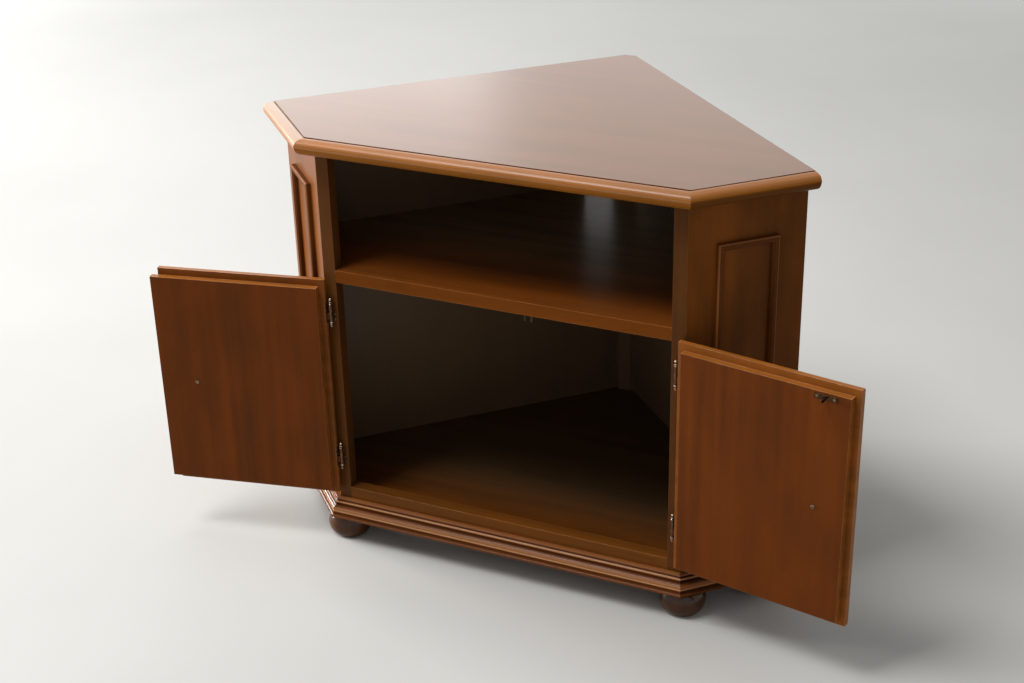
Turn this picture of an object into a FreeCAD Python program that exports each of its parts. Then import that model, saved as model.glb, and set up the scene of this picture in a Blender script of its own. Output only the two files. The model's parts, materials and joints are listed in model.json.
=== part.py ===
import FreeCAD, Part
import math
import os

# Corner TV cabinet, millimetres, +Z up, the front faces -Y.
# Everything is drawn with the stile faces on y = 0 and moved to the middle of its box at the end.

V = FreeCAD.Vector

# heights
foot_height = 46.0
base_rail_height = 17.0
floor_thickness = 15.0
bottom_rail_height = 20.5
door_bay_height = 366.0
shelf_thickness = 21.0
upper_bay_height = 191.5
top_thickness = 25.0

# plan of the body
front_width = 590.0
side_length = 184.7
case_thickness = 20.0
stile_width = 20.8
bottom_rail_depth = 21.0
back_thickness = 6.0
back_recess = 2.0
apex_clip = 9.5
post_leg = 30.0
post_depth = 14.0

# cord slot in the left back panel
slot_from_post = 8.0
slot_width = 53.0
slot_margin_low = 15.0
slot_margin_high = 16.0

# top edge moulding
field_overhang = 15.5
nose_overhang = 34.5
groove = 0.8
edge_fall = 2.0
edge_shoulder = 8.0
nose_drop = 11.6
nose_flat = 1.2
edge_foot = 22.0

# plinth moulding
plinth_ledge = 6.2
plinth_reach = 19.5
plinth_nose = 3.0
plinth_quirk = 3.4
plinth_ridge = 1.0
plinth_base = 3.2
plinth_step = 1.2
quirk_sink = 0.7
cove_sink = 1.2
bead_swell = 1.5

# base frame and feet
base_rail_width = 45.0
block_leg = 100.0
foot_radius = 36.0
foot_bulge = 30.0
foot_widest = 21.0
foot_neck_radius = 27.0
foot_facets = 4
front_foot_inset = 22.0
front_foot_side_inset = 17.0
rear_foot_inset = 30.0
foot_wall_gap = 40.0

# raised moulding frames
stick_width = 10.5
stick_proud = 8.0
stick_round = 2.4
stick_flat = 4.6
stick_quirk = 0.7
stick_inner_height = 4.6
side_frame_margin = 44.5
side_frame_below_top = 67.0
side_frame_above_floor = 67.0
door_frame_margin = 26.0

# doors
door_gap = 0.8
lip_thickness = 10.4
inner_thickness = 10.6
lip_overlap_high = 7.6
lip_overlap_low = 5.0
inner_gap_high = 3.8
inner_gap_low = 3.0
inner_gap_hinge = 6.6
lip_round = 3.0
meeting_offset = -2.4
meeting_gap = 1.0
meeting_rebate = 9.9
tongue_relief = 0.6
left_door_open = 168.35
right_door_open = 170.0

# knobs
knob_from_middle = 54.0
knob_below_shelf = 184.5
knob_radius = 13.0
knob_length = 24.0
knob_head = 9.0
knob_neck_radius = 6.5

# hinges
hinge_from_arris = 11.3
hinge_before_stile = 6.4
lip_from_hinge = 6.2
hinge_top_inset = 57.5
hinge_bottom_inset = 65.0
leaf_length = 36.0
leaf_thickness = 1.4
case_leaf_margin = 1.0
case_leaf_width = 11.6
door_leaf_width = 6.8
let_in_gap = 0.1
knuckle_radius = 3.2
knuckle_length = 14.0
knuckle_gap = 0.3
web_width = 3.0
pin_radius = 1.5
pin_running_gap = 0.05
pin_fixed_gap = 0.02
finial_ring = 2.9
finial_ring_height = 4.4
finial_button = 2.0
finial_button_height = 7.0
web_height_share = 0.8

# catch under the shelf and its strike on the right door
catch_from_middle = 45.0
catch_setback = 15.0
catch_plate_length = 38.0
catch_plate_front = 6.0
catch_plate_thickness = 1.5
catch_plate_rim = 1.0
catch_arm_length = 16.0
catch_arm_width = 3.4
catch_arm_height = 4.0
catch_play = 0.3
catch_spread = 10.6
catch_eye_radius = 2.6
catch_pin_radius = 1.2
catch_pin_gap = 0.05
catch_rivet_radius = 2.0
catch_rivet_height = 0.8
roller_radius = 2.6
roller_bottom = 15.0
strike_length = 34.0
strike_height = 8.0
strike_thickness = 1.2
strike_below_shelf = 10.8
strike_sink = 0.5
tongue_neck = 1.6
tongue_half_width = 2.1
tongue_reach = 14.0
tongue_height = 5.0

# allowance past the finished sizes where a cut runs clear of the piece
cut_spare = 2.0

# how close an edge lies to a plane to count as on it
touch = 0.01

# heights that follow
floor_under = foot_height + base_rail_height
floor_z = floor_under + floor_thickness
rail_top = floor_z + bottom_rail_height
shelf_under = rail_top + door_bay_height
shelf_top = shelf_under + shelf_thickness
top_under = shelf_top + upper_bay_height
top_z = top_under + top_thickness
plinth_height = floor_z - foot_height

# plan values that follow
half = math.sqrt(0.5)
mitre = math.tan(math.radians(22.5))
hf = front_width / 2.0
apex_y = hf + 2.0 * side_length * half
wall_length = (hf + side_length * half) / half
back_inset = back_recess + back_thickness
opening = hf - stile_width
hinge_x = hf - hinge_from_arris
hinge_y = -hinge_before_stile
up = V(0, 0, 1)
side_dir = V(half, half, 0)
side_out = V(half, -half, 0)
arris = V(hf, 0, 0)


def along_side(along, inset):
    # a point of the plan, measured from the right front arris along the side and inwards from it
    return arris + side_dir * along - side_out * inset


def along_wall(along, inset):
    # a point of the plan, measured from the back corner along the right wall and inwards from it
    return V(half * (along - inset), apex_y - half * (along + inset), 0)


def flip(point):
    return V(-point.x, point.y, point.z)


def both(points):
    # a right half outline, front to back, closed with its mirror image
    return points + [flip(p) for p in reversed(points)]


def slab(points, low, high):
    ring = [V(p.x, p.y, low) for p in points]
    ring.append(ring[0])
    return Part.Face(Part.makePolygon(ring)).extrude(up * (high - low))


def box(x0, x1, y0, y1, z0, z1):
    return Part.makeBox(x1 - x0, y1 - y0, z1 - z0, V(x0, y0, z0))


def mirrored(shape):
    return shape.mirror(V(0, 0, 0), V(1, 0, 0))


def section(path, place):
    # a closed face from a path of points; a pair of points is an arc through the first to the second
    edges = []
    last = path[0]
    for step in path[1:] + [path[0]]:
        if isinstance(step[0], tuple):
            edges.append(Part.Arc(place(*last), place(*step[0]), place(*step[1])).toShape())
            last = step[1]
        else:
            edges.append(Part.makeLine(place(*last), place(*step)))
            last = step
    return Part.Face(Part.Wire(edges))


def turned(path, centre):
    # a solid of revolution about the upright line through the centre; the path is (radius, height)
    face = section(path, lambda r, z: V(centre.x + r, centre.y, centre.z + z))
    return face.revolve(centre, up, 360)


def bow(height, radius, rise, start, end, steps):
    # points of an ellipse about the axis at a height, from one angle to another, as (radius, height)
    points = []
    for i in range(steps + 1):
        angle = start + (end - start) * i / steps
        points.append((radius * math.cos(angle), height + rise * math.sin(angle)))
    return points


# edge profiles as (distance out from the body, height)

def top_edge_path():
    # thumbnail down to a fine flat at the nose, then a fuller round back under it
    shoulder = nose_overhang - edge_shoulder
    nose_z = top_z - nose_drop
    low_z = nose_z - nose_flat
    upper_mid = (nose_overhang - edge_shoulder * 0.2, top_z - edge_fall - (nose_drop - edge_fall) * 0.42)
    lower_mid = (nose_overhang - (nose_overhang - edge_foot) * 0.22, top_under + (low_z - top_under) * 0.38)
    return [
        (field_overhang, top_under),
        (field_overhang, top_z - groove),
        (field_overhang + groove, top_z),
        (((field_overhang + shoulder) * 0.5, top_z - edge_fall * 0.3), (shoulder, top_z - edge_fall)),
        (upper_mid, (nose_overhang, nose_z)),
        (nose_overhang, low_z),
        (lower_mid, (edge_foot, top_under)),
    ]


def plinth_path():
    # a ledge, then a small quirk, a cove, a bead and a lower cove, each one stepping out past the last;
    # fine ridges part them, and the three larger members share the height that is left
    member = (plinth_height - plinth_nose - plinth_quirk - 2.0 * plinth_ridge - plinth_base) / 3.0
    members = [
        (plinth_quirk, -quirk_sink, plinth_ridge),
        (member, -cove_sink, 0.0),
        (member, bead_swell, plinth_ridge),
        (member, -cove_sink, plinth_base),
    ]
    growth = (plinth_reach - plinth_ledge) / len(members) - plinth_step
    out = plinth_ledge
    z = floor_z - plinth_nose
    path = [(0.0, foot_height), (0.0, floor_z), (out, floor_z), (out, z)]
    for height, swell, ridge in members:
        middle = (out + 0.5 * growth + swell, z - 0.5 * height)
        z -= height
        path.append((middle, (out + growth, z)))
        out += growth + plinth_step
        path.append((out, z))
        if ridge:
            z -= ridge
            path.append((out, z))
    return path


def edging(path, near, far, low, high):
    # the profile run along the front and along the right side, each cut to its mitres
    front_face = section(path, lambda o, z: V(-2.0 * hf, -o, z))
    front_run = front_face.extrude(V(4.0 * hf, 0, 0))
    start = arris - side_dir * hf
    side_face = section(path, lambda o, z: start + side_out * o + up * z)
    side_run = side_face.extrude(side_dir * (side_length + 2.0 * hf))
    near_corner = V(hf + near * mitre, -near, 0)
    far_corner = V(hf + far * mitre, -far, 0)
    front_plan = [near_corner, far_corner, flip(far_corner), flip(near_corner)]
    side_plan = [near_corner, along_side(side_length, -near), along_side(side_length, -far), far_corner]
    front = front_run.common(slab(front_plan, low, high))
    right = side_run.common(slab(side_plan, low, high))
    return front, right


def stick(length):
    # one moulding stick along x with both ends mitred at 45 degrees: a rounded outer edge, a flat,
    # then a fine quirk and a slope down to the inner edge
    bend = stick_round * (1.0 - half)
    top = stick_proud
    quirk = stick_round + stick_flat
    path = [
        (0.0, 0.0),
        (0.0, top - stick_round),
        ((bend, top - bend), (stick_round, top)),
        (quirk, top),
        (quirk, top - stick_quirk),
        (stick_width, stick_inner_height),
        (stick_width, 0.0),
    ]
    bar = section(path, lambda across, rise: V(0, across, rise)).extrude(V(length, 0, 0))
    inner = length - stick_width
    outline = [V(0, 0, 0), V(length, 0, 0), V(inner, stick_width, 0), V(stick_width, stick_width, 0)]
    return bar.common(slab(outline, -cut_spare, top + cut_spare))


def stick_frame(width, height, origin, across, normal):
    # four mitred sticks round a rectangle on an upright face, standing out along the normal
    corners = [V(0, 0, 0), V(width, 0, 0), V(width, height, 0), V(0, height, 0)]
    matrix = FreeCAD.Matrix(
        across.x, 0, normal.x, origin.x,
        across.y, 0, normal.y, origin.y,
        across.z, 1, normal.z, origin.z,
        0, 0, 0, 1,
    )
    sticks = []
    for turn, corner in enumerate(corners):
        piece = stick(width if turn % 2 == 0 else height)
        piece.rotate(V(0, 0, 0), up, 90.0 * turn)
        piece.translate(corner)
        sticks.append(piece.transformed(matrix, True))
    return Part.makeCompound(sticks)


nodes = {}


def pair(name, shape):
    # the same piece on the right and, mirrored, on the left
    nodes[name + "_right"] = shape
    nodes[name + "_left"] = mirrored(shape)


# top panel and its edge mouldings
field_corner = V(hf + field_overhang * mitre, -field_overhang, 0)
clip_corner = V(apex_clip, apex_y - apex_clip, 0)
top_plan = both([field_corner, along_side(side_length, -field_overhang), clip_corner])
top_panel = slab(top_plan, top_under, top_z)
groove_edges = [
    e for e in top_panel.Edges
    if abs(e.CenterOfMass.z - top_z) < touch and e.CenterOfMass.y < side_length * half
]
nodes["top_panel"] = top_panel.makeChamfer(groove, groove_edges)
top_front, top_right = edging(top_edge_path(), field_overhang, nose_overhang + cut_spare, top_under, top_z)
nodes["top_edge_front"] = top_front
pair("top_edge", top_right)

# stiles and side panels, mitred together at the front arrises
inner_corner = V(hf - case_thickness * mitre, case_thickness, 0)
stile_plan = [arris, inner_corner, V(opening, case_thickness, 0), V(opening, 0, 0)]
stile = slab(stile_plan, floor_z, top_under)
side_end = along_side(side_length, 0)
side_inner_end = along_side(side_length, case_thickness)
pair("side_panel", slab([arris, side_end, side_inner_end, inner_corner], floor_z, top_under))

# raised moulding frames on the side panels
frame_width = side_length - 2.0 * side_frame_margin
frame_low = floor_z + side_frame_above_floor
frame_height = top_under - side_frame_below_top - frame_low
frame_origin = along_side(side_frame_margin, 0) + up * frame_low
pair("side_moulding", stick_frame(frame_width, frame_height, frame_origin, side_dir, side_out))

# shelf, bottom rail, floor board and the post in the back corner
shelf_plan = both([
    V(opening, 0, 0),
    V(opening, case_thickness, 0),
    inner_corner,
    along_side(side_length - back_inset, case_thickness),
    along_wall(post_leg, back_inset),
    along_wall(post_leg, post_depth),
])
nodes["shelf"] = slab(shelf_plan, shelf_under, shelf_top)
nodes["bottom_rail"] = box(-opening, opening, 0.0, bottom_rail_depth, floor_z, rail_top)
nodes["floor_board"] = slab(both([arris, side_end, clip_corner]), floor_under, floor_z)
post_plan = both([along_wall(post_leg, post_depth), along_wall(post_leg, 0), clip_corner])
nodes["apex_post"] = slab(post_plan, floor_z, top_under)

# back panels, the left one with an upright cord slot beside the post
panel_end = wall_length - case_thickness
panel_plan = [
    along_wall(post_leg, back_recess),
    along_wall(panel_end, back_recess),
    along_wall(panel_end, back_inset),
    along_wall(post_leg, back_inset),
]
back_panel = slab(panel_plan, floor_z, top_under)
nodes["back_panel_right"] = back_panel
slot_start = post_leg + slot_from_post
slot_end = slot_start + slot_width
slot_plan = [
    along_wall(slot_start, 0),
    along_wall(slot_end, 0),
    along_wall(slot_end, 2.0 * back_inset),
    along_wall(slot_start, 2.0 * back_inset),
]
slot = slab(slot_plan, shelf_top + slot_margin_low, top_under - slot_margin_high)
nodes["back_panel_left"] = mirrored(back_panel.cut(slot))

# plinth moulding
plinth_front, plinth_right = edging(plinth_path(), 0.0, plinth_reach + cut_spare, foot_height, floor_z)
nodes["plinth_front"] = plinth_front
pair("plinth", plinth_right)

# base frame under the floor board
rail_corner = along_side(base_rail_width / half, 0)
rail_inner = V(rail_corner.x - base_rail_width / half, base_rail_width, 0)
nodes["base_front_rail"] = slab(both([arris, rail_corner]), foot_height, floor_under)
base_side_plan = [rail_corner, side_end, along_side(side_length, base_rail_width), rail_inner]
pair("base_side_rail", slab(base_side_plan, foot_height, floor_under))
base_back_plan = [
    along_wall(block_leg, 0),
    along_wall(wall_length - base_rail_width, 0),
    along_wall(wall_length - base_rail_width, base_rail_width),
    along_wall(block_leg, base_rail_width),
]
pair("base_back_rail", slab(base_back_plan, foot_height, floor_under))
block_plan = both([along_wall(block_leg, base_rail_width), along_wall(block_leg, 0), clip_corner])
nodes["base_apex_block"] = slab(block_plan, foot_height, floor_under)

# bun feet under the frame
pad_angle = -math.asin(foot_widest / foot_bulge)
neck_angle = math.acos(foot_neck_radius / foot_radius)
foot_path = [(0.0, 0.0)] + bow(foot_widest, foot_radius, foot_bulge, pad_angle, neck_angle, foot_facets)
foot_path += [(foot_neck_radius, foot_height), (0.0, foot_height)]
front_foot = V(hf + front_foot_inset - front_foot_side_inset / half, front_foot_inset, 0)
rear_foot = along_side(side_length - foot_wall_gap, rear_foot_inset)
apex_foot = V(0, apex_y - foot_wall_gap / half, 0)
foot_spots = [front_foot, flip(front_foot), rear_foot, flip(rear_foot), apex_foot]
nodes["feet"] = Part.makeCompound([turned(foot_path, spot) for spot in foot_spots])

# doors, drawn shut: a lipped outer layer and an inner layer that enters the opening
lip_back = -door_gap
lip_front = lip_back - lip_thickness
inner_face = lip_back + inner_thickness
lip_edge = hinge_x - lip_from_hinge
lip_low = rail_top - lip_overlap_low
lip_high = shelf_under + lip_overlap_high
inner_edge = opening - inner_gap_hinge
inner_low = rail_top + inner_gap_low
inner_high = shelf_under - inner_gap_high
hinge_heights = [lip_high - hinge_top_inset, lip_low + hinge_bottom_inset]


def rounded_lip(x0, x1, hinge_side):
    # the lip's front edge is rounded along the hinge side, the top and the bottom
    lip = box(x0, x1, lip_front, lip_back, lip_low, lip_high)
    edges = []
    for e in lip.Edges:
        middle = e.CenterOfMass
        at_front = abs(middle.y - lip_front) < touch
        at_hinge = abs(middle.x - hinge_side) < touch
        at_end = min(abs(middle.z - lip_low), abs(middle.z - lip_high)) < touch
        if at_front and (at_hinge or at_end):
            edges.append(e)
    return lip.makeFillet(lip_round, edges)


right_free = meeting_offset + meeting_gap / 2.0
left_free = meeting_offset - meeting_gap / 2.0
door_right = rounded_lip(right_free, lip_edge, lip_edge).fuse(
    box(right_free + meeting_rebate, inner_edge, lip_back, inner_face, inner_low, inner_high)
).removeSplitter()
door_left = rounded_lip(-lip_edge, left_free, -lip_edge).fuse(
    box(-inner_edge, left_free, lip_back, inner_face, inner_low, inner_high)
)
door_left = door_left.fuse(
    box(left_free, left_free + meeting_rebate, lip_back + tongue_relief, inner_face, inner_low, inner_high)
).removeSplitter()

door_nodes = {"left": {}, "right": {}}

# moulding frames on the door fronts
for side, x0, x1 in (("right", right_free, lip_edge), ("left", -lip_edge, left_free)):
    origin = V(x0 + door_frame_margin, lip_front, lip_low + door_frame_margin)
    width = x1 - x0 - 2.0 * door_frame_margin
    height = lip_high - lip_low - 2.0 * door_frame_margin
    frame = stick_frame(width, height, origin, V(1, 0, 0), V(0, -1, 0))
    door_nodes[side]["door_" + side + "_moulding"] = frame

# turned knobs, a round head on a neck
knob_z = shelf_under - knob_below_shelf
knob_path = [
    (0.0, 0.0),
    (knob_neck_radius, 0.0),
    (knob_neck_radius, knob_length - knob_head),
    (knob_radius, knob_length - knob_head),
    (knob_radius, knob_length),
    (0.0, knob_length),
]
door_bodies = {"left": door_left, "right": door_right}
for side, sign in (("right", 1.0), ("left", -1.0)):
    knob = turned(knob_path, V(0, 0, 0))
    knob.rotate(V(0, 0, 0), V(1, 0, 0), 90)
    knob.translate(V(sign * knob_from_middle, lip_front, knob_z))
    door_nodes[side]["door_" + side + "_knob"] = knob

# finial hinges, drawn on the right with the door shut and mirrored for the left
leaf_low = -leaf_length / 2.0
case_leaf_x = opening + case_leaf_margin
door_leaf_y = lip_back - (lip_thickness - lip_round - door_leaf_width) / 2.0 - door_leaf_width


def hinge_parts(z):
    axis = V(hinge_x, hinge_y, z)
    bore_fixed = pin_radius + pin_fixed_gap
    bore_running = pin_radius + pin_running_gap
    start = knuckle_gap / 2.0
    web_top = web_height_share * knuckle_length
    upper = Part.makeCylinder(knuckle_radius, knuckle_length - start, axis + up * start)
    lower = Part.makeCylinder(knuckle_radius, knuckle_length - start, axis - up * knuckle_length)
    # the upper finial is turned in one with the pin, the lower one closes the pin's other end
    ring_top = knuckle_length + finial_ring_height
    cap_top = -knuckle_length - knuckle_gap
    pin_path = [
        (0.0, cap_top),
        (pin_radius, cap_top),
        (pin_radius, knuckle_length),
        (finial_ring, knuckle_length),
        (finial_ring, ring_top),
        (finial_button, ring_top),
        (finial_button, ring_top + finial_button_height),
        (0.0, ring_top + finial_button_height),
    ]
    pin = turned(pin_path, axis)
    cap_low = cap_top - finial_ring_height
    cap_path = [
        (0.0, cap_top),
        (finial_ring, cap_top),
        (finial_ring, cap_low),
        (finial_button, cap_low),
        (finial_button, cap_low - finial_button_height),
        (0.0, cap_low - finial_button_height),
    ]
    cap = turned(cap_path, axis)
    case_leaf = box(
        case_leaf_x, case_leaf_x + case_leaf_width, 0.0, leaf_thickness, z + leaf_low, z - leaf_low
    )
    case_web = box(
        hinge_x - web_width / 2.0, hinge_x + web_width / 2.0, hinge_y, 0.0, z + start, z + web_top
    )
    bore = Part.makeCylinder(bore_fixed, 4.0 * knuckle_length, axis - up * 2.0 * knuckle_length, up)
    case_half = case_leaf.fuse(case_web).fuse(upper).cut(bore)
    door_leaf = box(
        lip_edge - leaf_thickness, lip_edge, door_leaf_y, door_leaf_y + door_leaf_width,
        z + leaf_low, z - leaf_low,
    )
    door_web = box(
        lip_edge, hinge_x, hinge_y - web_width / 2.0, hinge_y + web_width / 2.0, z - web_top, z - start
    )
    running = Part.makeCylinder(bore_running, 4.0 * knuckle_length, axis - up * 2.0 * knuckle_length, up)
    door_half = door_leaf.fuse(door_web).fuse(lower).cut(running)
    stile_pocket = box(
        case_leaf_x - let_in_gap, case_leaf_x + case_leaf_width + let_in_gap, 0.0, leaf_thickness,
        z + leaf_low - let_in_gap, z - leaf_low + let_in_gap,
    )
    lip_pocket = box(
        lip_edge - leaf_thickness, lip_edge,
        door_leaf_y - let_in_gap, door_leaf_y + door_leaf_width + let_in_gap,
        z + leaf_low - let_in_gap, z - leaf_low + let_in_gap,
    )
    return case_half, door_half, [pin, cap], stile_pocket, lip_pocket


stiles = {"right": stile, "left": mirrored(stile)}
for side in ("right", "left"):
    here = mirrored if side == "left" else Part.Shape.copy
    case_leaves = []
    door_leaves = []
    pins = []
    for z in hinge_heights:
        case_half, door_half, pin_and_cap, stile_pocket, lip_pocket = hinge_parts(z)
        case_leaves.append(here(case_half))
        door_leaves.append(here(door_half))
        pins += [here(piece) for piece in pin_and_cap]
        stiles[side] = stiles[side].cut(here(stile_pocket))
        door_bodies[side] = door_bodies[side].cut(here(lip_pocket))
    nodes["hinge_case_leaves_" + side] = Part.makeCompound(case_leaves)
    nodes["hinge_pins_" + side] = Part.makeCompound(pins)
    door_nodes[side]["hinge_door_leaves_" + side] = Part.makeCompound(door_leaves)
    nodes["stile_" + side] = stiles[side]

# catch under the shelf: a plate with two riveted arms, each ending in an upright roller nose
plate_under = shelf_under - catch_plate_thickness
arm_top = plate_under - catch_play
arm_low = arm_top - catch_arm_height
pivot_y = catch_setback + catch_arm_length
plate_back = pivot_y + catch_eye_radius + catch_plate_rim
catch_x = catch_from_middle
catch_plate = box(
    catch_x - catch_plate_length / 2.0, catch_x + catch_plate_length / 2.0, catch_plate_front, plate_back,
    plate_under, shelf_under,
)
for sign, side in ((1.0, "right"), (-1.0, "left")):
    pivot = V(catch_x + sign * catch_spread / 2.0, pivot_y, 0)
    rivet_low = arm_low - catch_play
    rivet = Part.makeCylinder(catch_pin_radius, plate_under - rivet_low, V(pivot.x, pivot.y, rivet_low), up)
    rivet_head = Part.makeCylinder(
        catch_rivet_radius, catch_rivet_height, V(pivot.x, pivot.y, rivet_low - catch_rivet_height), up
    )
    catch_plate = catch_plate.fuse(rivet).fuse(rivet_head)
    eye = Part.makeCylinder(catch_eye_radius, catch_arm_height, V(pivot.x, pivot.y, arm_low), up)
    bar = box(
        pivot.x - catch_arm_width / 2.0, pivot.x + catch_arm_width / 2.0, catch_setback, pivot_y,
        arm_low, arm_top,
    )
    nose_low = shelf_under - roller_bottom
    nose = Part.makeCylinder(roller_radius, arm_top - nose_low, V(pivot.x, catch_setback, nose_low))
    hole_radius = catch_pin_radius + catch_pin_gap
    hole = Part.makeCylinder(hole_radius, catch_arm_height, V(pivot.x, pivot.y, arm_low), up)
    nodes["catch_arm_" + side] = eye.fuse(bar).fuse(nose).cut(hole).removeSplitter()

nodes["catch_plate"] = catch_plate.removeSplitter()

# strike on the right door: a plate with a spear tongue that enters between the two noses
strike_z = shelf_under - strike_below_shelf
strike_back = inner_face + strike_thickness
strike = box(
    catch_x - strike_length / 2.0, catch_x + strike_length / 2.0, inner_face, strike_back,
    strike_z - strike_height / 2.0, strike_z + strike_height / 2.0,
)
spear = both([
    V(tongue_neck, strike_back - strike_sink, 0),
    V(tongue_neck, strike_back + 0.35 * tongue_reach, 0),
    V(tongue_half_width, strike_back + 0.65 * tongue_reach, 0),
    V(0.35 * tongue_half_width, strike_back + tongue_reach, 0),
])
tongue = slab(spear, strike_z - tongue_height / 2.0, strike_z + tongue_height / 2.0)
tongue.translate(V(catch_x, 0, 0))
door_nodes["right"]["strike_plate"] = strike.fuse(tongue).removeSplitter()

# the doors swing open about their hinge pins to the angles they stand at
for side, sign, swing in (("right", 1.0, right_door_open), ("left", -1.0, left_door_open)):
    door_nodes[side]["door_" + side + "_panel"] = door_bodies[side]
    for name, shape in door_nodes[side].items():
        swung = shape.copy()
        swung.rotate(V(sign * hinge_x, hinge_y, 0), up, sign * swing)
        nodes[name] = swung

# the frame's origin: middle of the plan's box, on the floor
front_most = min(shape.BoundBox.YMin for shape in nodes.values())
rear_most = max(shape.BoundBox.YMax for shape in nodes.values())
shift = V(0, -0.5 * (front_most + rear_most), 0)
os.makedirs("parts", exist_ok=True)
for name, shape in nodes.items():
    placed = shape.copy()
    placed.translate(shift)
    placed.exportStep("parts/" + name + ".step")
print("nodes", len(nodes))
print("shift_y", round(shift.y, 4))
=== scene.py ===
import json
import math

import bmesh
import bpy
import numpy as np
from mathutils import Matrix, Vector


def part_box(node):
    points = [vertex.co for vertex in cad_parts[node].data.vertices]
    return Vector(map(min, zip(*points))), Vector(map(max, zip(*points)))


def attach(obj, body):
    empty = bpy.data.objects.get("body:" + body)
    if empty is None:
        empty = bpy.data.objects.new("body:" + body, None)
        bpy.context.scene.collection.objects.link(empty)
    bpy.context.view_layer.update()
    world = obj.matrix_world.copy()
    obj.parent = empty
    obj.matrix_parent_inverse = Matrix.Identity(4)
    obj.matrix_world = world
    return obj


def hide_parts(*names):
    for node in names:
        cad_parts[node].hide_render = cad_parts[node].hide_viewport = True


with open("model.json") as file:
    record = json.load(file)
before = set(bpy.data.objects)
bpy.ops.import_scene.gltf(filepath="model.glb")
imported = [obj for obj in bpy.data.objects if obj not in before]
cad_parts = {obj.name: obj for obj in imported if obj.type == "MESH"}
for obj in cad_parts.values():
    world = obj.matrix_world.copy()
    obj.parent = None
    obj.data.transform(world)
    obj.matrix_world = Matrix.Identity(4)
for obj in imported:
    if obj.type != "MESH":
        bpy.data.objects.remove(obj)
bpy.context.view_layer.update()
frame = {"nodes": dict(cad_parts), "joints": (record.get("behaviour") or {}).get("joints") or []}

nodes = frame["nodes"]
scene = bpy.context.scene
print("frame loaded,", len(nodes), "nodes")

# plan of the cabinet, read from the boards themselves
stileLow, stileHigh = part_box("stile_right")
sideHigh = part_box("side_panel_right")[1]
topLow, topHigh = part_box("top_panel")
faceY = stileLow.y
arrisX = stileHigh.x
half = math.sqrt(0.5)
mitre = math.tan(math.radians(22.5))
sideLength = (sideHigh.x - arrisX) / half
sideDir = np.array([half, half, 0.0])
sideOut = np.array([half, -half, 0.0])
up = np.array([0.0, 0.0, 1.0])
arris = np.array([arrisX, faceY, 0.0])
quarters = np.array([[1.0, 1.0], [-1.0, 1.0], [-1.0, -1.0], [1.0, -1.0]])
millimetre = 0.001

socketKinds = {float: "NodeSocketFloat", tuple: "NodeSocketColor", type(None): "NodeSocketVector"}


def newGroup(name, inputs, outputs):
    # sockets by label; an input's kind follows from its first value, and one without a value is a vector
    group = bpy.data.node_groups.new(name, "ShaderNodeTree")
    for label, value in inputs.items():
        socket = group.interface.new_socket(name=label, in_out="INPUT", socket_type=socketKinds[type(value)])
        if value is not None:
            socket.default_value = value
    for label, kind in outputs.items():
        group.interface.new_socket(name=label, in_out="OUTPUT", socket_type=kind)
    return group, group.nodes.new("NodeGroupInput"), group.nodes.new("NodeGroupOutput")


class Wiring:
    # short calls for adding and joining shader nodes in one tree
    def __init__(self, tree):
        self.tree = tree

    def add(self, kind, **settings):
        node = self.tree.nodes.new(kind)
        for key, value in settings.items():
            setattr(node, key, value)
        return node

    def join(self, source, target):
        self.tree.links.new(source, target)

    def feed(self, socket, value):
        if isinstance(value, bpy.types.NodeSocket):
            self.join(value, socket)
        else:
            socket.default_value = value

    def feedAll(self, node, values):
        # values by the labels of the node's inputs
        for label, value in values.items():
            self.feed(node.inputs[label], value)

    def fill(self, node, *values):
        # values for the node's first inputs, in their order
        for socket, value in zip(node.inputs, values):
            self.feed(socket, value)
        return node.outputs

    def maths(self, operation, first, second=0.5, clamp=False):
        node = self.add("ShaderNodeMath", operation=operation, use_clamp=clamp)
        return self.fill(node, first, second)[0]

    def times(self, first, second):
        return self.maths("MULTIPLY", first, second)

    def vectorMaths(self, operation, first, second, output="Vector"):
        return self.fill(self.add("ShaderNodeVectorMath", operation=operation), first, second)[output]

    def dot(self, first, second):
        return self.vectorMaths("DOT_PRODUCT", first, second, "Value")

    def axes(self, vector):
        return self.fill(self.add("ShaderNodeSeparateXYZ"), vector)

    def noise(self, place, scale, detail=2.0, rough=0.5, twist=0.0):
        # noise with a scale of its own along each axis
        node = self.add("ShaderNodeTexNoise")
        place = self.vectorMaths("MULTIPLY", place, scale)
        self.feedAll(node, {"Vector": place, "Scale": 1.0, "Detail": detail, "Roughness": rough,
                            "Distortion": twist})
        return node.outputs["Fac"]

    def span(self, value, low, high, toLow=0.0, toHigh=1.0):
        node = self.add("ShaderNodeMapRange", interpolation_type="SMOOTHSTEP")
        return self.fill(node, value, low, high, toLow, toHigh)["Result"]

    def mix(self, share, first, second):
        node = self.add("ShaderNodeMix", data_type="RGBA", blend_type="MIX")
        for number, amount in ((0, share), (6, first), (7, second)):
            self.feed(node.inputs[number], amount)
        return node.outputs[2]

    def attribute(self, name, output="Fac"):
        return self.add("ShaderNodeAttribute", attribute_name=name).outputs[output]

    def bump(self, shader, height, strength, distance):
        node = self.add("ShaderNodeBump")
        self.feedAll(node, {"Strength": strength, "Distance": distance, "Height": height})
        self.join(node.outputs["Normal"], shader.inputs["Normal"])


figureScales = {
    "seedStep": (1.73, 0.91, 3.17),
    "ribbonPitch": (1.0, 1.0, 0.045),  # times the ribbons per metre
    "broad": (1.0, 1.0, 1.0),  # times the ribbons' place, as is fine
    "fine": (3.1, 3.1, 1.6),
    "patch": (6.0, 6.0, 3.0),  # per metre, across the grain twice and along it
    "fibre": (620.0, 620.0, 11.0),
    "pore": (1500.0, 1500.0, 60.0),
    "mottle": (14.0, 14.0, 7.0),
    "poreColour": (0.014, 0.005, 0.002, 1),
}


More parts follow.
